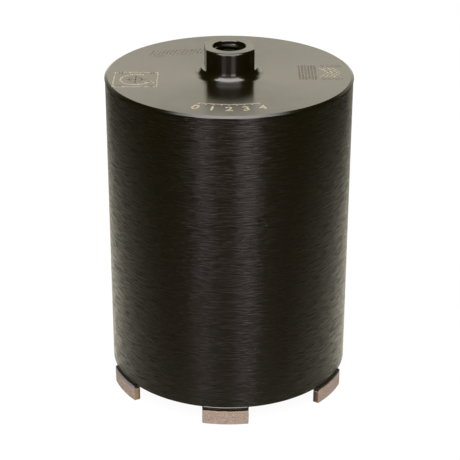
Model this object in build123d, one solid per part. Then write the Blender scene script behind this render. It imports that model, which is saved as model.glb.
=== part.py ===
# Dry-cutting diamond core bit, in millimetres.
# Z = 0 is the plane that the segments cut on. +Z runs up the bit's axis to the hub's top
# face, and the front segment is centred on -Y.
from build123d import *

import os

# Driving dimensions

# Cutting ring: sintered diamond segments, standing in a ring under the barrel
bit_diameter = 127.0
segment_count = 6
segment_length = 24.0  # between the two parallel ends
segment_thickness = 3.5
segment_height = 9.4
segment_corner_radius = 0.7  # lower corner at each end
segment_edge_break = 0.3

# Barrel: thin steel tube, set in from the cut so that it doesn't rub
side_clearance = 1.25
barrel_wall = 1.5
barrel_length = 156.6
barrel_edge_break = 0.25

# End cap: one turned piece, a disc that closes the barrel and the hub on top of it
cap_overhang = 0.3  # of the disc's rim, past the barrel
cap_rim_land = 0.1  # straight part of the rim, under its bevel
cap_edge_bevel = 1.15
spigot_depth = 2.8
spigot_clearance = 0.05
spigot_chamfer = 0.5

hub_height = 14.25  # above the disc
hub_cove_radius = 4.5
hub_top_round = 1.2

# Two spanner flats on the hub, open at the top
spanner_width = 24.0
flat_depth = 1.9
flat_shoulder_height = 3.45  # lower end of the flats, above the disc
flat_corner_radius = 0.6
flat_turn = 6.7  # degrees, from the front segment's left and right

# Tapped bore for the machine's spindle
thread_diameter = 16.0
thread_pitch = 2.0
thread_depth_factor = 1.0825  # minor diameter = major diameter - factor * pitch
mouth_clearance = 0.25  # radial, round the spindle's shank
mouth_depth = 1.8
mouth_chamfer = 0.3

# Places worked out from the driving dimensions

cut_radius = bit_diameter / 2
barrel_radius = cut_radius - side_clearance
barrel_bore_radius = barrel_radius - barrel_wall
spigot_radius = barrel_bore_radius - spigot_clearance
cap_radius = barrel_radius + cap_overhang

cap_seat_z = segment_height + barrel_length
spigot_bottom_z = cap_seat_z - spigot_depth
disc_top_z = cap_seat_z + cap_rim_land + cap_edge_bevel
hub_top_z = disc_top_z + hub_height

hub_radius = spanner_width / 2 + flat_depth
tapped_radius = (thread_diameter - thread_depth_factor * thread_pitch) / 2
mouth_radius = thread_diameter / 2 + mouth_clearance
lead_depth = mouth_radius - tapped_radius  # 45 degree countersink at both ends of the thread


def barrel_tube():
    """Plain tube with its four rims lightly broken."""
    wall = Circle(barrel_radius) - Circle(barrel_bore_radius)
    tube = Pos(0, 0, segment_height) * extrude(wall, barrel_length)
    return chamfer(tube.edges(), barrel_edge_break)


def turned_cap():
    """Disc, spigot and hub as they come off the lathe, before the flats are milled."""
    underside = Polyline(
        (tapped_radius, spigot_bottom_z + lead_depth),
        (mouth_radius, spigot_bottom_z),
        (spigot_radius - spigot_chamfer, spigot_bottom_z),
        (spigot_radius, spigot_bottom_z + spigot_chamfer),
        (spigot_radius, cap_seat_z),
        (cap_radius, cap_seat_z),
        (cap_radius, disc_top_z - cap_edge_bevel),
        (cap_radius - cap_edge_bevel, disc_top_z),
        (hub_radius + hub_cove_radius, disc_top_z),
    )
    cove = RadiusArc(
        (hub_radius + hub_cove_radius, disc_top_z),
        (hub_radius, disc_top_z + hub_cove_radius),
        hub_cove_radius,
    )
    hub_wall = Line(
        (hub_radius, disc_top_z + hub_cove_radius),
        (hub_radius, hub_top_z - hub_top_round),
    )
    top_round = RadiusArc(
        (hub_radius, hub_top_z - hub_top_round),
        (hub_radius - hub_top_round, hub_top_z),
        -hub_top_round,
    )
    bore = Polyline(
        (hub_radius - hub_top_round, hub_top_z),
        (mouth_radius + mouth_chamfer, hub_top_z),
        (mouth_radius, hub_top_z - mouth_chamfer),
        (mouth_radius, hub_top_z - mouth_depth),
        (tapped_radius, hub_top_z - mouth_depth - lead_depth),
        (tapped_radius, spigot_bottom_z + lead_depth),
    )
    profile = make_face(Curve() + [underside, cove, hub_wall, top_round, bore])
    return revolve(Plane.XZ * profile, Axis.Z)


def flat_cutter():
    """What the mill takes off one side of the hub, with the cutter's round at the shoulder."""
    cut_height = hub_height - flat_shoulder_height
    face = Rectangle(hub_radius, cut_height, align=(Align.MIN, Align.MIN))
    inner_foot = face.vertices().group_by(Axis.Y)[0].sort_by(Axis.X)[0]
    face = fillet(inner_foot, flat_corner_radius)
    face = Pos(spanner_width / 2, disc_top_z + flat_shoulder_height) * face
    return extrude(Plane.XZ * face, hub_radius, both=True)


def end_cap():
    """Turned cap with its two spanner flats."""
    cap = turned_cap()
    for side in (0, 180):
        cap -= Rot(0, 0, flat_turn + side) * flat_cutter()
    return cap


def segment():
    """One segment, centred on -Y: curved to the cut, with parallel ends and a flat top."""
    block = Rectangle(segment_length, segment_height, align=(Align.CENTER, Align.MIN))
    block = fillet(block.vertices().group_by(Axis.Y)[0], segment_corner_radius)
    block = extrude(Plane.XZ * block, cut_radius)
    ring = Circle(cut_radius) - Circle(cut_radius - segment_thickness)
    body = block & extrude(ring, segment_height)
    inner_and_outer = body.faces().filter_by(GeomType.CYLINDER).sort_by(SortBy.AREA)[-2:]
    welded_top = body.faces().sort_by(Axis.Z)[-1]
    return chamfer(inner_and_outer.edges() - welded_top.edges(), segment_edge_break)


# Write each piece, in its place

os.makedirs("parts", exist_ok=True)

export_step(barrel_tube(), "parts/barrel_tube.step")
export_step(end_cap(), "parts/end_cap.step")

pitch_angle = 360 / segment_count
front_segment = segment()
for number in range(segment_count):
    placed = Rot(0, 0, number * pitch_angle) * front_segment
    export_step(placed, f"parts/segment_{number + 1}.step")
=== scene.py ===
from math import ceil, cos, pi, radians, sin, sqrt

import bmesh
import bpy
from mathutils import Matrix, Vector


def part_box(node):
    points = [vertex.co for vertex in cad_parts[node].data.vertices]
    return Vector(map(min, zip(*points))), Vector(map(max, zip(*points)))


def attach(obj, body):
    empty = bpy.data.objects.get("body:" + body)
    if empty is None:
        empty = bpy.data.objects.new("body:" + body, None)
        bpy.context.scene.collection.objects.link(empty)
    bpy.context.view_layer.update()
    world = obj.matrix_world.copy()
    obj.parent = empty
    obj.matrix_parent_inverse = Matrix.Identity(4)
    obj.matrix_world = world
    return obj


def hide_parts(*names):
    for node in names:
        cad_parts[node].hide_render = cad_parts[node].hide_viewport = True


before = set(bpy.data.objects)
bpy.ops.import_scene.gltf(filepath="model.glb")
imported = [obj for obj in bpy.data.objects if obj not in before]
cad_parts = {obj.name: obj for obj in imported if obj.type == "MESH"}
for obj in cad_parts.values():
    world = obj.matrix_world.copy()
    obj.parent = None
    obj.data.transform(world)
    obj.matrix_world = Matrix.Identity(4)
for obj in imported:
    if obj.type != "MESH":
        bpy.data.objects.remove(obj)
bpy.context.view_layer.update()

# Barrel: a thin steel tube, brushed round its outside and lacquered black. It carries the
# segments on its lower rim, and its upper rim is pushed on the end cap's spigot.
mm = 0.001
scene = bpy.context.scene
barrel_low, barrel_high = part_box("barrel_tube")
barrel_radius = barrel_high.x
barrel_wall = 1.5 * mm
barrel_bore = barrel_radius - barrel_wall
barrel_edge_break = 0.25 * mm
turned_steps = 240  # faces in a full turn
sharp_edge = radians(24)
same_place = 0.0005 * mm
black_lacquer = (0.0066, 0.005, 0.0006, 1)
brush_marks = (0.15, 0.15, 2.4)  # waves per millimetre: long round the barrel, and fine up it
brush_depth = 0.21 * mm


def turned(name, rings):
    """A solid of revolution. Each ring is a function that gives radius and height at an angle."""
    rows = []
    for ring_at in rings:
        row = []
        for step in range(turned_steps + 1):
            angle = 2 * pi * step / turned_steps
            radius, height = ring_at(angle)
            row.append((radius * cos(angle), radius * sin(angle), height))
        rows.append(row)
    width = turned_steps + 1
    corners = [corner for row in rows for corner in row]
    faces = []
    for low in range(len(rows)):
        high = (low + 1) % len(rows)
        for step in range(turned_steps):
            faces.append((low * width + step, low * width + step + 1,
                          high * width + step + 1, high * width + step))
    mesh = bpy.data.meshes.new(name)
    mesh.from_pydata(corners, [], faces)
    return closed_piece(name, mesh)


def closed_piece(name, mesh):
    """Merges a mesh's doubles, points its faces outwards and puts it in the scene."""
    build = bmesh.new()
    build.from_mesh(mesh)
    bmesh.ops.remove_doubles(build, verts=build.verts, dist=same_place)
    bmesh.ops.dissolve_degenerate(build, edges=build.edges, dist=same_place)
    bmesh.ops.recalc_face_normals(build, faces=build.faces)
    build.to_mesh(mesh)
    build.free()
    mesh.shade_smooth()
    mesh.set_sharp_from_angle(angle=sharp_edge)
    return in_scene(name, mesh)


def in_scene(name, mesh):
    """A piece in the scene, with this mesh."""
    piece = bpy.data.objects.new(name, mesh)
    scene.collection.objects.link(piece)
    return piece


def ring(radius, height):
    """A plain round ring."""
    return lambda angle: (radius, height)


def node(tree, kind, inputs=None, **settings):
    """A node with its settings, and each input set to a value or linked to a socket."""
    made = tree.nodes.new(kind)
    for name, value in settings.items():
        setattr(made, name, value)
    for socket, value in (inputs or {}).items():
        if isinstance(value, bpy.types.NodeSocket):
            tree.links.new(value, made.inputs[socket])
        else:
            made.inputs[socket].default_value = value
    return made


def finish_of(name, **surface):
    """A material with one Principled surface. Returns the material, its tree and the shader."""
    material = bpy.data.materials.new(name)
    material.use_nodes = True
    tree = material.node_tree
    shader = tree.nodes["Principled BSDF"]
    for socket, value in surface.items():
        shader.inputs[socket.replace("_", " ")].default_value = value
    return material, tree, shader


def noise(tree, place, scale, stretch=(1, 1, 1), detail=2.0):
    """Noise with its scale in waves per millimetre, stretched along the object's axes."""
    waves = [share * scale / mm for share in stretch]
    mapped = node(tree, "ShaderNodeMapping", {"Vector": place, "Scale": waves})
    return node(tree, "ShaderNodeTexNoise",
                {"Vector": mapped.outputs[0], "Scale": 1.0, "Detail": detail}).outputs["Fac"]


def spread(tree, value, low, high, out_low, out_high):
    """A value's range, mapped to another one."""
    return node(tree, "ShaderNodeMapRange", {"Value": value, "From Min": low, "From Max": high,
                                             "To Min": out_low, "To Max": out_high}).outputs[0]


def bump(tree, height, strength, depth):
    """Normals that follow a height."""
    return node(tree, "ShaderNodeBump", {"Height": height, "Strength": strength,
                                         "Distance": depth}).outputs[0]


def object_place(tree):
    """Coordinates on the object."""
    return node(tree, "ShaderNodeTexCoord").outputs["Object"]


def link(tree, value, shader, socket):
    """Joins a value to one of the shader's sockets."""
    tree.links.new(value, shader.inputs[socket])


def brushed_lacquer():
    """Thin black lacquer over steel that was brushed round the axis."""
    material, tree, shader = finish_of("brushed_black_lacquer", Base_Color=black_lacquer,
                                       IOR=1.35, Anisotropic=1.0, Anisotropic_Rotation=0.25,
                                       Coat_Roughness=0.15, Coat_IOR=1.36)
    round_axis = node(tree, "ShaderNodeTangent", direction_type="RADIAL", axis="Z")
    link(tree, round_axis.outputs[0], shader, "Tangent")
    fine = noise(tree, object_place(tree), 1.0, brush_marks, detail=1.0)
    link(tree, spread(tree, fine, 0.35, 0.65, 0.15, 0.29), shader, "Roughness")
    link(tree, spread(tree, fine, 0.38, 0.62, 1.0, 0.1), shader, "Coat Weight")
    link(tree, bump(tree, fine, 1.0, brush_depth), shader, "Normal")
    return material


barrel = turned("barrel_tube_brushed", [
    ring(barrel_bore + barrel_edge_break, barrel_low.z),
    ring(barrel_radius - barrel_edge_break, barrel_low.z),
    ring(barrel_radius, barrel_low.z + barrel_edge_break),
    ring(barrel_radius, barrel_high.z),
    ring(barrel_bore, barrel_high.z),
    ring(barrel_bore, barrel_low.z + barrel_edge_break),
])
barrel.data.materials.append(brushed_lacquer())
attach(barrel, "root")
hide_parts("barrel_tube")

# End cap: a disc with the hub on top, turned from one bar, with two spanner flats milled on
# the hub and a tapped bore for the machine's spindle. It is lacquered smooth and black.
cap_low, cap_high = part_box("end_cap")
cap_radius = cap_high.x
rim_height = 1.25 * mm
rim_bevel = 1.4 * mm
rim_softening = ((0.02 * mm, 0.2 * mm), (0.08 * mm, 0.35 * mm))  # in from the rim, up from its foot
spigot_clearance = 0.05 * mm
spigot_radius = barrel_bore - spigot_clearance
spigot_chamfer = 0.5 * mm
cove_radius = 4.5 * mm
cove_steps = 14
hub_radius = 13.9 * mm
hub_top_round = 1.2 * mm
top_round_steps = 8
flat_distance = 12.0 * mm  # from the axis
flat_shoulder = 3.45 * mm  # above the disc
flat_corner = 0.6 * mm
flat_corner_steps = 4
flat_turn = radians(6.7)
mouth_radius = 8.25 * mm
mouth_depth = 1.8 * mm
mouth_chamfer = 0.3 * mm
thread_radius = 8.0 * mm
thread_pitch = 2.0 * mm
thread_depth = 1.0825 * mm
root_edge = 1 / 16  # in pitches, from the middle of the thread's root
crest_edge = 3 / 8
lead_size = 0.45 * mm
disc_top = barrel_high.z + rim_height
hub_top = cap_high.z
mouth_floor = hub_top - mouth_depth
tool_marks = 1.6  # waves per millimetre
tool_mark_depth = 0.01 * mm


def milled(radius, height, flat):
    """A ring of the hub that two opposite flats cut off at a distance from the axis."""
    def at(angle):
        off_flat = (angle - flat_turn + pi / 2) % pi - pi / 2
        return min(radius, flat / max(cos(off_flat), 1e-6)), height
    return at


def quarter(count):
    """Angles that divide a quarter of a circle."""
    return [pi / 2 * step / count for step in range(count + 1)]


def hub_wall(height):
    """Radius of the hub at a height above the disc, with the cove at its foot."""
    below_cove_top = max(cove_radius - height, 0)
    return hub_radius + cove_radius - sqrt(cove_radius**2 - below_cove_top**2)


def lead_and_countersink(height):
    """Radius of the 45 degree cones at the two ends of the tapped bore."""
    crest_radius = thread_radius - thread_depth
    lead = crest_radius + lead_size - (mouth_floor - height)
    countersink = mouth_radius - (height - cap_low.z)
    return max(lead, countersink)


def thread_row(turn, root_distance):
    """A row of the right-hand thread, that many pitches along and off the root's middle."""
    flank = (abs(root_distance) - root_edge) / (crest_edge - root_edge)
    radius = thread_radius - thread_depth * min(max(flank, 0), 1)

    def at(angle):
        height = cap_low.z + thread_pitch * (turn + root_distance + angle / (2 * pi))
        if height >= mouth_floor:
            return mouth_radius, mouth_floor
        height = max(height, cap_low.z)
        return max(radius, lead_and_countersink(height)), height
    return at


outline = [
    ring(mouth_radius, cap_low.z),
    ring(spigot_radius - spigot_chamfer, cap_low.z),
    ring(spigot_radius, cap_low.z + spigot_chamfer),
    ring(spigot_radius, barrel_high.z),
    ring(cap_radius, barrel_high.z),
]
outline += [ring(cap_radius - inset, barrel_high.z + rise) for inset, rise in rim_softening]
outline.append(ring(cap_radius - rim_bevel, disc_top))
cove_heights = [cove_radius * (1 - cos(angle)) for angle in quarter(cove_steps)]
outline += [ring(hub_wall(height), disc_top + height) for height in cove_heights
            if height < flat_shoulder]
outline.append(ring(hub_wall(flat_shoulder), disc_top + flat_shoulder))
for angle in quarter(flat_corner_steps):
    height = flat_shoulder + flat_corner * (1 - cos(angle))
    flat = flat_distance + flat_corner * (1 - sin(angle))
    outline.append(milled(hub_wall(height), disc_top + height, flat))
outline += [milled(hub_wall(height), disc_top + height, flat_distance) for height in cove_heights
            if height > flat_shoulder + flat_corner]
for angle in quarter(top_round_steps):
    outline.append(milled(hub_radius - hub_top_round * (1 - cos(angle)),
                          hub_top - hub_top_round * (1 - sin(angle)), flat_distance))
outline += [
    ring(mouth_radius + mouth_chamfer, hub_top),
    ring(mouth_radius, hub_top - mouth_chamfer),
    ring(mouth_radius, mouth_floor),
]
thread_turns = ceil((mouth_floor - cap_low.z) / thread_pitch) + 1
upper_flank = (crest_edge, (crest_edge + root_edge) / 2, root_edge)
thread_rows = upper_flank + tuple(-row for row in reversed(upper_flank))
tapped_bore = [thread_row(turn, row) for turn in range(thread_turns, -2, -1) for row in thread_rows]


def smooth_lacquer():
    """Gloss black lacquer on a turned surface, with the last tool marks faint under it."""
    material, tree, shader = finish_of("smooth_black_lacquer", Base_Color=black_lacquer, IOR=1.35,
                                       Anisotropic=0.75, Anisotropic_Rotation=0.25)
    round_axis = node(tree, "ShaderNodeTangent", direction_type="RADIAL", axis="Z")
    link(tree, round_axis.outputs[0], shader, "Tangent")
    place = object_place(tree)
    radius, height = radius_and_height(tree, place)
    tool_path = node(tree, "ShaderNodeCombineXYZ", {"X": radius, "Y": height})
    rings = noise(tree, tool_path.outputs[0], tool_marks)
    link(tree, bump(tree, rings, 0.25, tool_mark_depth), shader, "Normal")
    cloud = noise(tree, place, 0.12)
    link(tree, spread(tree, cloud, 0.3, 0.7, 0.19, 0.22), shader, "Roughness")
    return material


def radius_and_height(tree, place):
    """Distance from the axis, and height."""
    parts = node(tree, "ShaderNodeSeparateXYZ", {"Vector": place}).outputs
    across = node(tree, "ShaderNodeCombineXYZ", {"X": parts["X"], "Y": parts["Y"]})
    radius = node(tree, "ShaderNodeVectorMath", {0: across.outputs[0]}, operation="LENGTH")
    return radius.outputs["Value"], parts["Z"]


cap = turned("end_cap_turned", outline + tapped_bore)
cap.data.materials.append(smooth_lacquer())
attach(cap, "root")
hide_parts("end_cap")

# Segments: six blocks of sintered metal powder with diamond grit in it, each with a thin
# base of plain iron. The base is lacquered with the barrel, the cutting part is bare.
segment_nodes = sorted(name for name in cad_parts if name.startswith("segment_"))
segment_pitch = 2 * pi / len(segment_nodes)
segment_low, segment_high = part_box("segment_1")
segment_length = segment_high.x - segment_low.x
segment_thickness = 3.5 * mm
cut_radius = -segment_low.y
base_height = 1.45 * mm
base_line = segment_high.z - base_height
grain_mesh = 0.24 * mm
grain_size = 0.55 * mm
grain_depth = 0.09 * mm
grit_radius = 0.17 * mm
grit_sizes = (0.6, 1.15)  # shares of that radius
grit_density = 0.22 / mm**2
grit_below_base = 0.3 * mm
any_turn = (6.28, 6.28, 6.28)
face_sink = 0.16 * mm  # keeps the grit's tips on the cut

dark_grain = (0.23, 0.165, 0.13, 1)
sandy_grain = (0.36, 0.27, 0.22, 1)
pale_grain = (0.50, 0.40, 0.34, 1)
warm_patch = (0.40, 0.29, 0.20, 1)
heat_glow = (0.50, 0.35, 0.20, 1)
lilac_grey = (0.19, 0.185, 0.215, 1)
# Painted light on the lit end of each segment: tan, with painted shade towards the inner face and a
# painted orange glint near the outer face
lit_end_tones = (  # from the inner face to the outer one
    (0.0, (0.05, 0.02, 0.012, 1)),
    (0.22, (0.15, 0.08, 0.05, 1)),
    (0.45, (0.28, 0.19, 0.12, 1)),
    (0.8, (0.36, 0.24, 0.10, 1)),
    (1.0, (0.30, 0.14, 0.03, 1)),
)
# Painted shade on the other end: brown, darkest at the inner face, with a painted orange glint near the
# outer face
shaded_end_tones = (  # likewise
    (0.0, (0.012, 0.008, 0.006, 1)),
    (0.3, (0.055, 0.032, 0.028, 1)),
    (0.7, (0.11, 0.065, 0.055, 1)),
    (0.85, (0.20, 0.08, 0.02, 1)),
    (1.0, (0.30, 0.20, 0.13, 1)),
)


def tree_with(name, sizes):
    """A geometry tree that takes and gives a geometry, with named sizes as its inputs."""
    tree = bpy.data.node_groups.new(name, "GeometryNodeTree")
    tree.interface.new_socket("Geometry", in_out="INPUT", socket_type="NodeSocketGeometry")
    for size, kind in sizes.items():
        tree.interface.new_socket(size, in_out="INPUT", socket_type=kind)
    tree.interface.new_socket("Geometry", in_out="OUTPUT", socket_type="NodeSocketGeometry")
    return tree, tree.nodes.new("NodeGroupInput").outputs


def grown(piece, tree, sizes):
    """Runs a geometry tree on a piece, and leaves the piece as the plain mesh that it makes."""
    modifier = piece.modifiers.new(tree.name, "NODES")
    modifier.node_group = tree
    sockets = {item.name: item.identifier for item in tree.interface.items_tree
               if item.in_out == "INPUT"}
    for size, value in sizes.items():
        modifier[sockets[size]] = value
    return plain_mesh(piece)


def plain_mesh(piece):
    """Applies what a piece's modifiers make."""
    bpy.context.view_layer.update()
    made = piece.evaluated_get(bpy.context.evaluated_depsgraph_get())
    mesh = bpy.data.meshes.new_from_object(made)
    piece.modifiers.clear()
    piece.data = mesh
    mesh.name = piece.name
    return piece


def reckon(tree, operation, *values):
    """What a Math node makes of these values."""
    return node(tree, "ShaderNodeMath", dict(enumerate(values)), operation=operation).outputs[0]


def sintered_tree(matrix, grit):
    """Grainy faces, with grit half sunk in the part that cuts."""
    tree, given = tree_with("sintered_grain", {
        "Turn": "NodeSocketFloat", "Grain size": "NodeSocketFloat", "Grain depth": "NodeSocketFloat",
        "Grit radius": "NodeSocketFloat", "Grit density": "NodeSocketFloat",
        "Sink": "NodeSocketFloat", "Bare below": "NodeSocketFloat", "Seed": "NodeSocketInt"})
    place = node(tree, "GeometryNodeInputPosition").outputs[0]
    turn_back = reckon(tree, "MULTIPLY", given["Turn"], -1.0)
    own = node(tree, "ShaderNodeVectorRotate", {"Vector": place, "Angle": turn_back},
               rotation_type="Z_AXIS")
    marked = node(tree, "GeometryNodeStoreNamedAttribute",
                  {"Geometry": given["Geometry"], "Name": "own_place", "Value": own.outputs[0]},
                  data_type="FLOAT_VECTOR")
    waves = reckon(tree, "DIVIDE", 1.0, given["Grain size"])
    grain = node(tree, "ShaderNodeTexNoise", {"Vector": place, "Scale": waves,
                                              "Detail": 3.0, "Roughness": 0.65})
    depth = reckon(tree, "MULTIPLY", grain.outputs["Fac"], given["Grain depth"])
    outward = node(tree, "GeometryNodeInputNormal").outputs[0]
    inward = reckon(tree, "MULTIPLY_ADD", depth, -1.0, given["Sink"])
    sunk = node(tree, "ShaderNodeVectorMath", {0: outward, "Scale": inward}, operation="SCALE")
    grainy = node(tree, "GeometryNodeSetPosition", {"Geometry": marked.outputs[0],
                                                    "Offset": sunk.outputs[0]})
    body = node(tree, "GeometryNodeSetMaterial", {"Geometry": grainy.outputs[0], "Material": matrix})
    height = node(tree, "ShaderNodeSeparateXYZ", {"Vector": place}).outputs["Z"]
    bare = reckon(tree, "LESS_THAN", height, given["Bare below"])
    spots = node(tree, "GeometryNodeDistributePointsOnFaces",
                 {"Mesh": grainy.outputs[0], "Selection": bare,
                  "Density": given["Grit density"], "Seed": given["Seed"]})
    crystal = node(tree, "GeometryNodeMeshIcoSphere", {"Radius": given["Grit radius"],
                                                       "Subdivisions": 1})
    turn = node(tree, "FunctionNodeRandomValue", {"Max": any_turn, "Seed": given["Seed"]},
                data_type="FLOAT_VECTOR")
    size = node(tree, "FunctionNodeRandomValue",
                {2: grit_sizes[0], 3: grit_sizes[1], "Seed": given["Seed"]}, data_type="FLOAT")
    placed = node(tree, "GeometryNodeInstanceOnPoints",
                  {"Points": spots.outputs["Points"], "Instance": crystal.outputs["Mesh"],
                   "Rotation": turn.outputs["Value"], "Scale": size.outputs["Value"]})
    crystals = node(tree, "GeometryNodeSetMaterial", {"Geometry": placed.outputs[0], "Material": grit})
    both = node(tree, "GeometryNodeJoinGeometry")
    tree.links.new(body.outputs[0], both.inputs[0])
    tree.links.new(crystals.outputs[0], both.inputs[0])
    real = node(tree, "GeometryNodeRealizeInstances", {"Geometry": both.outputs[0]})
    node(tree, "NodeGroupOutput", {0: real.outputs[0]})
    return tree


def product(tree, *values):
    """The values multiplied together."""
    total = values[0]
    for value in values[1:]:
        total = reckon(tree, "MULTIPLY", total, value)
    return total


def mixed(tree, factor, first, second):
    """One colour where the factor is 0, and the other where it is 1."""
    return node(tree, "ShaderNodeMix", {"Factor": factor, "A": first, "B": second},
                data_type="RGBA").outputs["Result"]


def tones(tree, factor, *stops):
    """A colour ramp through these places and colours."""
    ramp = node(tree, "ShaderNodeValToRGB", {"Fac": factor})
    ends = ramp.color_ramp.elements
    for end, (position, colour) in ((ends[0], stops[0]), (ends[1], stops[-1])):
        end.position, end.color = position, colour
    for position, colour in stops[1:-1]:
        ends.new(position).color = colour
    return ramp.outputs[0]


def sintered_metal():
    """Sandy sintered bronze and iron, black on its base, with painted light and shade on its ends:
    a painted lit tan at one end and a painted shaded brown at the other."""
    material, tree, shader = finish_of("sintered_metal", Roughness=0.62, Metallic=0.0,
                                       Specular_IOR_Level=0.35)
    own = node(tree, "ShaderNodeAttribute", attribute_name="own_place").outputs["Vector"]
    place = object_place(tree)
    along = node(tree, "ShaderNodeSeparateXYZ", {"Vector": own}).outputs["X"]
    radius, own_height = radius_and_height(tree, own)

    grain = noise(tree, place, 1.7, detail=4.0)
    speckle = tones(tree, grain, (0.32, dark_grain), (0.5, sandy_grain), (0.66, pale_grain))
    patches = noise(tree, place, 0.22)
    warm = mixed(tree, spread(tree, patches, 0.45, 0.75, 0, 0.5), speckle, warm_patch)

    # The two ends in painted light and shade: lit tan at one end and shaded brown at the other, each
    # with painted shade towards the inner face and a painted orange glint near the outer face
    off_middle = reckon(tree, "ABSOLUTE", along)
    half_length = segment_length / 2
    end = spread(tree, off_middle, half_length - 0.45 * mm, half_length - 0.15 * mm, 0, 1)
    uneven = spread(tree, grain, 0.3, 0.7, -0.3 * mm, 0.3 * mm)
    wavy_radius = reckon(tree, "ADD", radius, uneven)
    outward = spread(tree, wavy_radius, cut_radius - segment_thickness, cut_radius, 0, 1)
    lit_end = spread(tree, along, -0.1 * mm, 0.1 * mm, 0, 1)
    burnt_lines_and_painted_end_light = mixed(tree, lit_end, tones(tree, outward, *shaded_end_tones),
                  tones(tree, outward, *lit_end_tones))
    bare = mixed(tree, end, warm, burnt_lines_and_painted_end_light)

    # The base, with a glow of heat under an uneven edge of lacquer
    edge = noise(tree, place, 0.9, detail=3.0)
    paint_edge = spread(tree, edge, 0.3, 0.7, -0.14 * mm, 0.14 * mm)
    # On the end faces the black and the glow reach 0.8 mm lower, so the ends are black further down
    height = reckon(tree, "MULTIPLY_ADD", end, 0.8 * mm, reckon(tree, "ADD", own_height, paint_edge))
    glow = spread(tree, height, base_line - 0.55 * mm, base_line - 0.1 * mm, 0, 1)
    tinted = mixed(tree, glow, bare, heat_glow)
    painted = spread(tree, height, base_line, base_line + 0.12 * mm, 0, 1)
    coated = mixed(tree, painted, tinted, black_lacquer)

    # A lilac-grey strip across the base line, on the outer faces of the segments at one side
    beside = node(tree, "ShaderNodeSeparateXYZ", {"Vector": place}).outputs["X"]
    one_side = spread(tree, beside, -44 * mm, -50 * mm, 0, 1)
    from_below = spread(tree, height, base_line - 0.75 * mm, base_line - 0.55 * mm, 0, 1)
    from_above = spread(tree, height, base_line + 0.9 * mm, base_line + 1.1 * mm, 1, 0)
    outside = spread(tree, outward, 0.75, 0.9, 0, 1)
    grey_strip = product(tree, one_side, from_below, from_above, outside)
    link(tree, mixed(tree, grey_strip, coated, lilac_grey), shader, "Base Color")

    link(tree, spread(tree, painted, 0, 1, 0.62, 0.28), shader, "Roughness")
    link(tree, bump(tree, noise(tree, place, 3.5, detail=3.0), 0.5, 0.05 * mm), shader, "Normal")
    return material


def diamond_grit():
    """Greenish yellow synthetic diamond."""
    material, tree, shader = finish_of("diamond_grit", Roughness=0.2, IOR=2.2)
    crystal = spread(tree, noise(tree, object_place(tree), 1.1), 0.35, 0.65, 0, 1)
    colour = mixed(tree, crystal, (0.16, 0.14, 0.08, 1), (0.42, 0.40, 0.28, 1))
    link(tree, colour, shader, "Base Color")
    return material


sintering = sintered_tree(sintered_metal(), diamond_grit())
for number, name in enumerate(segment_nodes):
    segment = closed_piece(name + "_sintered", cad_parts[name].data.copy())
    segment.data.materials.clear()
    even = segment.modifiers.new("even_faces", "REMESH")
    even.mode = "VOXEL"
    even.voxel_size = grain_mesh
    even.use_smooth_shade = True
    plain_mesh(segment)
    grown(segment, sintering, {
        "Turn": number * segment_pitch, "Grain size": grain_size, "Grain depth": grain_depth,
        "Grit radius": grit_radius, "Grit density": grit_density, "Sink": -face_sink,
        "Bare below": base_line - grit_below_base, "Seed": number + 1})
    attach(segment, "root")
    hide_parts(name)

# Weld seams: a laser weld runs along each segment where it meets the barrel, outside and
# inside, and leaves a narrow rippled bead in the corner, lacquered with the barrel.
bead_radius = 0.42 * mm
bead_least = 0.82  # share of that radius between two ripples
bead_ripple = 0.14
bead_sides = 12
bead_steps = 220
ripple_pitch = 0.62 * mm
ripple_waves = 0.9 / mm
bead_offset = 0.12 * mm  # off the barrel's face
bead_lift = 0.05 * mm
bead_end_gap = 0.8 * mm


def bead_tree(lacquer):
    """A rippled bead along an arc round the axis, with its ends closed."""
    tree, given = tree_with("weld_bead", {
        "Radius": "NodeSocketFloat", "Height": "NodeSocketFloat", "Middle": "NodeSocketFloat",
        "Sweep": "NodeSocketFloat", "Bead": "NodeSocketFloat", "Ripple": "NodeSocketFloat",
        "Pitch": "NodeSocketFloat", "Steps": "NodeSocketInt", "Seed": "NodeSocketFloat"})
    half = reckon(tree, "MULTIPLY", given["Sweep"], 0.5)
    start = reckon(tree, "SUBTRACT", given["Middle"], half)
    arc = node(tree, "GeometryNodeCurveArc", {"Resolution": given["Steps"], "Radius": given["Radius"],
                                              "Start Angle": start, "Sweep Angle": given["Sweep"]},
               mode="RADIUS")
    lift = node(tree, "ShaderNodeCombineXYZ", {"Z": given["Height"]})
    placed = node(tree, "GeometryNodeSetPosition", {"Geometry": arc.outputs["Curve"],
                                                    "Offset": lift.outputs[0]})
    along = node(tree, "GeometryNodeSplineParameter").outputs["Length"]
    wave = reckon(tree, "FRACT", reckon(tree, "DIVIDE", along, given["Pitch"]))
    uneven = node(tree, "ShaderNodeTexNoise", {"W": given["Seed"], "Scale": ripple_waves,
                                               "Detail": 2.0}, noise_dimensions="4D")
    ripple = reckon(tree, "ADD", wave, uneven.outputs["Fac"])
    swell = reckon(tree, "MULTIPLY_ADD", ripple, given["Ripple"], bead_least)
    section = node(tree, "GeometryNodeCurvePrimitiveCircle", {"Resolution": bead_sides, "Radius": 1.0})
    bead = node(tree, "GeometryNodeCurveToMesh",
                {"Curve": placed.outputs[0], "Profile Curve": section.outputs["Curve"],
                 "Scale": reckon(tree, "MULTIPLY", swell, given["Bead"]), "Fill Caps": True})
    smooth = node(tree, "GeometryNodeSetShadeSmooth", {"Geometry": bead.outputs[0]})
    coated = node(tree, "GeometryNodeSetMaterial", {"Geometry": smooth.outputs[0], "Material": lacquer})
    real = node(tree, "GeometryNodeRealizeInstances", {"Geometry": coated.outputs[0]})
    node(tree, "NodeGroupOutput", {0: real.outputs[0]})
    return tree


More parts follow.
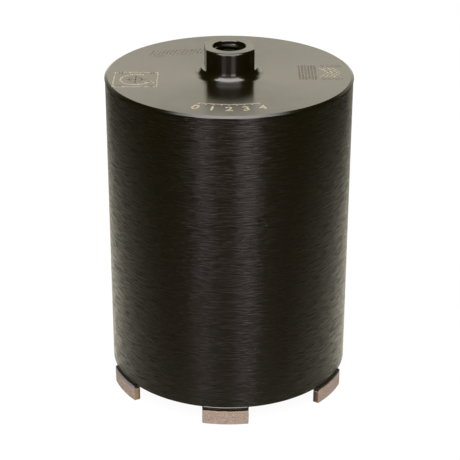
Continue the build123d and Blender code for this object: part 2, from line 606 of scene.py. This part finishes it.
def weld_lacquer():
    """The barrel's lacquer over the scaly skin of a weld."""
    material, tree, shader = finish_of("lacquered_weld", Base_Color=black_lacquer, Roughness=0.3,
                                       IOR=1.6)
    scale = noise(tree, object_place(tree), 1.5, detail=3.0)
    link(tree, bump(tree, scale, 0.7, 0.08 * mm), shader, "Normal")
    return material


beads = bead_tree(weld_lacquer())
for side, face, offset in (("outer", barrel_radius, bead_offset), ("inner", barrel_bore, -bead_offset)):
    for number in range(len(segment_nodes)):
        bead_name = "weld_seam_%s_%d" % (side, number + 1)
        bead = in_scene(bead_name, bpy.data.meshes.new(bead_name))
        grown(bead, beads, {
            "Radius": face + offset, "Height": segment_high.z + bead_lift,
            "Middle": number * segment_pitch - pi / 2,
            "Sweep": (segment_length - 2 * bead_end_gap) / face,
            "Bead": bead_radius, "Ripple": bead_ripple, "Pitch": ripple_pitch,
            "Steps": bead_steps, "Seed": 3.7 * number})
        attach(bead, "root")

# Etched marks: after lacquering, a laser burns a scale, a turning arrow, a block of lines and a
# row of ticks into the disc's top. The lines are tan where the steel shows, brown elsewhere.
mark_thickness = 0.04 * mm
mark_turn = radians(1.4)
tan_steel = ((0.52, 0.45, 0.31, 1), (0.30, 0.24, 0.15, 1))
burnt_brown = ((0.17, 0.13, 0.08, 1), (0.05, 0.04, 0.025, 1))


def etched_finish(name, colours):
    """Matt laser-burnt steel, blotched in two tones."""
    material, tree, shader = finish_of(name, Roughness=0.65)
    blotches = noise(tree, object_place(tree), 1.2, detail=3.0)
    tone = mixed(tree, spread(tree, blotches, 0.35, 0.65, 0, 1), colours[0], colours[1])
    link(tree, tone, shader, "Base Color")
    return material


def etched_tree(name, material):
    """A flat bar along each run of edges."""
    tree, given = tree_with(name, {"Width": "NodeSocketFloat", "Thickness": "NodeSocketFloat"})
    runs = node(tree, "GeometryNodeMeshToCurve", {"Mesh": given["Geometry"]})
    level = node(tree, "GeometryNodeSetCurveNormal", {"Curve": runs.outputs[0]}, mode="Z_UP")
    section = node(tree, "GeometryNodeCurvePrimitiveQuadrilateral",
                   {"Width": given["Width"], "Height": given["Thickness"]})
    bars = node(tree, "GeometryNodeCurveToMesh", {"Curve": level.outputs[0],
                                                  "Profile Curve": section.outputs[0],
                                                  "Fill Caps": True})
    burnt_lines_and_painted_end_light = node(tree, "GeometryNodeSetMaterial", {"Geometry": bars.outputs[0], "Material": material})
    real = node(tree, "GeometryNodeRealizeInstances", {"Geometry": burnt_lines_and_painted_end_light.outputs[0]})
    node(tree, "NodeGroupOutput", {0: real.outputs[0]})
    return tree


def etched(name, tree, runs, width, middle=(0, 0)):
    """Lines along runs of points, in millimetres from the middle of the mark."""
    corners = []
    edges = []
    turn = Matrix.Rotation(mark_turn, 3, "Z")
    for run in runs:
        edges += [(len(corners) + step, len(corners) + step + 1) for step in range(len(run) - 1)]
        for x, y in run:
            corners.append(turn @ Vector(((middle[0] + x) * mm, (middle[1] + y) * mm, disc_top)))
    mesh = bpy.data.meshes.new(name)
    mesh.from_pydata(corners, edges, [])
    mark = grown(in_scene(name, mesh), tree, {"Width": width * mm, "Thickness": mark_thickness})
    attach(mark, "root")


def arc(radius, start, end, steps=24):
    """Points on an arc, with its angles in degrees from +X."""
    angles = [radians(start + (end - start) * step / steps) for step in range(steps + 1)]
    return [(radius * cos(angle), radius * sin(angle)) for angle in angles]


def square(size):
    """A closed square run."""
    return [(-size, -size), (size, -size), (size, size), (-size, size), (-size, -size)]


tan_line = etched_finish("etched_tan", tan_steel)
tan_lines = etched_tree("tan_lines", tan_line)
brown_lines = etched_tree("brown_lines", etched_finish("etched_brown", burnt_brown))

scale_radius = 45.6
tick_radius = 47.4
numeral_radius = 54.2
numeral_size = 7.6
numeral_boldness = 0.16
numeral_step = 9  # degrees
tick_angles = [-90 + numeral_step / 2 * step for step in range(-4, 5)]
scale_ticks = [[arc(radius, angle, angle, 1)[0] for radius in (scale_radius, tick_radius)]
               for angle in tick_angles]
scale_line = arc(scale_radius, tick_angles[0], tick_angles[-1])
etched("etched_scale", tan_lines, [scale_line] + scale_ticks, width=0.6)
for value in range(5):
    numeral = bpy.data.curves.new("numeral", "FONT")
    numeral.body = str(value)
    numeral.size = numeral_size * mm
    numeral.align_x = "CENTER"
    numeral.offset = numeral_boldness * mm
    numeral.extrude = mark_thickness / 2
    written = bpy.data.objects.new("numeral", numeral)
    mesh = bpy.data.meshes.new_from_object(written)
    bpy.data.objects.remove(written)
    angle = radians(numeral_step * (value - 2)) + mark_turn
    below_axis = Matrix.Translation((0, -numeral_radius * mm, disc_top))
    mesh.transform(Matrix.Rotation(angle, 4, "Z") @ below_axis)
    mesh.materials.append(tan_line)
    number = in_scene("etched_number_%d" % value, mesh)
    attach(number, "root")

arrow_middle = (-46.4, -10.2)
arrow = [arc(7.6, 60, 340), [(4.6, -4.8), (7.3, -2.4), (9.6, -5.2)]]
target = [arc(3.2, 0, 360), [(-5.4, 0), (5.4, 0)], [(0, -5.4), (0, 5.4)]]
corner_ticks = [[(x, 8.6 * y), (x, 10.8 * y)] for x in (-8.6, -7.2, 7.2, 8.6) for y in (-1, 1)]
etched("etched_arrow", tan_lines, [square(10.8)] + arrow, width=0.9, middle=arrow_middle)
etched("etched_target", brown_lines, target + corner_ticks, width=0.7, middle=arrow_middle)

block_middle = (46.0, 1.0)
upright_lines = [[(x, -10.8), (x, 10.8)] for x in (-10.8, -9.2, -7.6, -6.0, -4.4, -2.8)]
level_lines = [[(0, y), (10.8, y)] for y in (-10.8, -8.8, 8.8, 10.8)]
chevrons = [[(x, -6.8), (x + 4.4, 0), (x, 6.8)] for x in (-0.6, 1.6, 3.8, 6.0)]
etched("etched_block", brown_lines, upright_lines + level_lines, width=0.9, middle=block_middle)
etched("etched_chevrons", tan_lines, chevrons, width=0.8, middle=block_middle)

row_middle = (-27.0, 33.5)
slanted = [[(x - 1, 0.15 * x - 3.6), (x + 1, 0.15 * x + 3.6)] for x in range(-13, 14, 2)]
underlines = [[(-15, -7.4), (13, -3.2)], [(-14, -8.6), (-6, -7.4)]]
etched("etched_ticks", brown_lines, slanted + underlines, width=0.6, middle=row_middle)

# Floor and light: a pale floor in a white room, one big soft box overhead, two narrow ones low in
# front with a dim card between them, and a key light for what is matt. Reflections see the floor's
# white fade away from the object, and the room's front dim.
photo_azimuth = radians(1.39)  # the front segment stands this much off the camera's axis
plain_white = (1, 1, 1, 1)
warm_white = (1.0, 0.94, 0.77, 1)
rose_white = (1.0, 0.82, 0.76, 1)
lamp_white = (1, 0.96, 0.95)
lilac = (1, 0.82, 0.88)
floor_white = 1.06
floor_radius = 900 * mm
front_reach = 70 * mm  # from the axis to where the barrel's front sees the floor
hub_middle = Vector((0, 0, 150 * mm))


def seen_by(tree, *rays):
    """1 for these kinds of ray, and 0 for others."""
    kinds = node(tree, "ShaderNodeLightPath").outputs
    seen = kinds[rays[0]]
    for ray in rays[1:]:
        seen = reckon(tree, "MAXIMUM", seen, kinds[ray])
    return seen


def eased(tree, value, low, high, out_low, out_high):
    """As spread, with a smooth start and end."""
    return node(tree, "ShaderNodeMapRange", {"Value": value, "From Min": low, "From Max": high,
                                             "To Min": out_low, "To Max": out_high},
                interpolation_type="SMOOTHSTEP").outputs[0]


def blend(tree, factor, first, second):
    """One number where the factor is 0, and the other where it is 1."""
    return node(tree, "ShaderNodeMix", {"Factor": factor, "A": first, "B": second}).outputs["Result"]


def pale_floor():
    """A pale matt floor, which is white round the object and takes its soft shadow."""
    material = bpy.data.materials.new("pale_floor")
    material.use_nodes = True
    tree = material.node_tree
    tree.nodes.clear()
    place = object_place(tree)
    away = node(tree, "ShaderNodeVectorMath", {0: place}, operation="LENGTH").outputs["Value"]
    depth = node(tree, "ShaderNodeSeparateXYZ", {"Vector": place}).outputs["Y"]
    backward = reckon(tree, "DIVIDE", reckon(tree, "ADD", depth, front_reach), away)
    front_dim = spread(tree, backward, -0.2, 0.85, 0.22, 0.82)
    far_white = eased(tree, backward, 0.78, 1.0, 0.04, 0.32)
    fading = eased(tree, away, 0.05, 0.52, 0.95, far_white)
    glossy = seen_by(tree, "Is Glossy Ray")
    strength = blend(tree, glossy, floor_white, product(tree, fading, front_dim))
    reflected = mixed(tree, eased(tree, backward, -0.5, 0.2, 0, 1), rose_white, warm_white)
    colour = mixed(tree, glossy, plain_white, reflected)
    white = node(tree, "ShaderNodeEmission", {"Color": colour, "Strength": strength})
    matt = node(tree, "ShaderNodeBsdfDiffuse", {"Color": (0.8, 0.8, 0.8, 1)})
    seen = seen_by(tree, "Is Camera Ray", "Is Glossy Ray", "Is Transmission Ray")
    share = blend(tree, glossy, 0.9, 1.0)
    both = node(tree, "ShaderNodeMixShader", {0: product(tree, seen, share), 1: matt.outputs[0],
                                              2: white.outputs[0]})
    node(tree, "ShaderNodeOutputMaterial", {0: both.outputs[0]})
    return material


floor_mesh = bpy.data.meshes.new("floor")
floor_build = bmesh.new()
bmesh.ops.create_circle(floor_build, cap_ends=True, segments=96, radius=floor_radius)
floor_build.to_mesh(floor_mesh)
floor_build.free()
floor_mesh.materials.append(pale_floor())
floor = in_scene("floor", floor_mesh)


def white_room():
    """A world that is white to the eye, darker at its sides, top and front in reflections, and
    plain soft light otherwise."""
    world = bpy.data.worlds.new("white_room")
    world.use_nodes = True
    tree = world.node_tree
    tree.nodes.clear()
    toward = node(tree, "ShaderNodeTexCoord").outputs["Generated"]
    parts = node(tree, "ShaderNodeSeparateXYZ", {"Vector": toward}).outputs
    behind = eased(tree, parts["Y"], -0.1, 0.35, 0.04, 1.0)
    middle = eased(tree, reckon(tree, "ABSOLUTE", parts["X"]), 0.36, 0.6, 1.0, 0.02)
    rising = spread(tree, parts["Z"], 0.24, 0.43, 1.32, 3.1)
    below_ceiling = eased(tree, parts["Z"], 0.47, 0.61, 1.0, 0.01)
    level = product(tree, behind, middle, rising, below_ceiling)
    glossy = seen_by(tree, "Is Glossy Ray")
    colour = mixed(tree, glossy, plain_white, warm_white)
    strength = blend(tree, glossy, 1.0, level)
    white = node(tree, "ShaderNodeBackground", {"Color": colour, "Strength": strength})
    plain = node(tree, "ShaderNodeBackground", {"Color": plain_white, "Strength": 0.5})
    seen = seen_by(tree, "Is Camera Ray", "Is Glossy Ray", "Is Transmission Ray")
    both = node(tree, "ShaderNodeMixShader", {0: seen, 1: plain.outputs[0], 2: white.outputs[0]})
    node(tree, "ShaderNodeOutputWorld", {0: both.outputs[0]})
    return world


def lamp(name, azimuth, elevation, distance, width, height, radiance, tint=lamp_white, shine=True):
    """A soft box that looks at the hub and shows in gloss, or else lights what is matt.
    Azimuth 0 is the camera's side."""
    box = bpy.data.lights.new(name, "AREA")
    box.shape = "RECTANGLE"
    box.size, box.size_y = width, height
    box.color = tint
    box.energy = radiance * pi * width * height
    stand = in_scene(name, box)
    turn = Matrix.Rotation(photo_azimuth + radians(azimuth), 4, "Z")
    tilt = Matrix.Rotation(radians(90 - elevation), 4, "X")
    back = Matrix.Translation((0, 0, distance))
    stand.matrix_world = Matrix.Translation(hub_middle) @ turn @ tilt @ back
    stand.visible_camera = False
    stand.visible_diffuse = not shine
    stand.visible_glossy = shine


scene.world = white_room()
lamp("key_light", azimuth=-1, elevation=54, distance=1.2, width=0.97, height=1.2, radiance=4.0,
     shine=False)
lamp("soft_box_overhead", azimuth=0, elevation=69, distance=1.05, width=1.3, height=0.89,
     radiance=17.5)
for name, azimuth, width, radiance in (("soft_box_left", -21, 0.34, 6.4),
                                       ("soft_box_right", 16.5, 0.36, 10.0),
                                       ("dim_card", -2.5, 0.3, 1.4)):
    lamp(name, azimuth, elevation=9, distance=1.2, width=width, height=0.5, radiance=radiance,
         tint=lilac)

# Camera: the photograph's view, from a fit of the focal length, the distance, the height and the
# camera's turn and tilt to the object's outlines.
photo_lens = 118.908
photo_distance = 798.94 * mm
photo_elevation = radians(24.955)
photo_aim = 80.328 * mm
photo_yaw = radians(0.0452)
photo_roll = radians(0.1436)
eye = bpy.data.cameras.new("camera")
eye.lens = photo_lens
eye.clip_end = 20
camera = in_scene("camera", eye)
camera.matrix_world = (
    Matrix.Rotation(photo_azimuth, 4, "Z")
    @ Matrix.Translation((0, 0, photo_aim))
    @ Matrix.Rotation(radians(90) - photo_elevation, 4, "X")
    @ Matrix.Translation((0, 0, photo_distance))
    @ Matrix.Rotation(-photo_yaw, 4, "Y")
    @ Matrix.Rotation(photo_roll, 4, "Z")
)
scene.camera = camera
scene.view_settings.view_transform = "Standard"
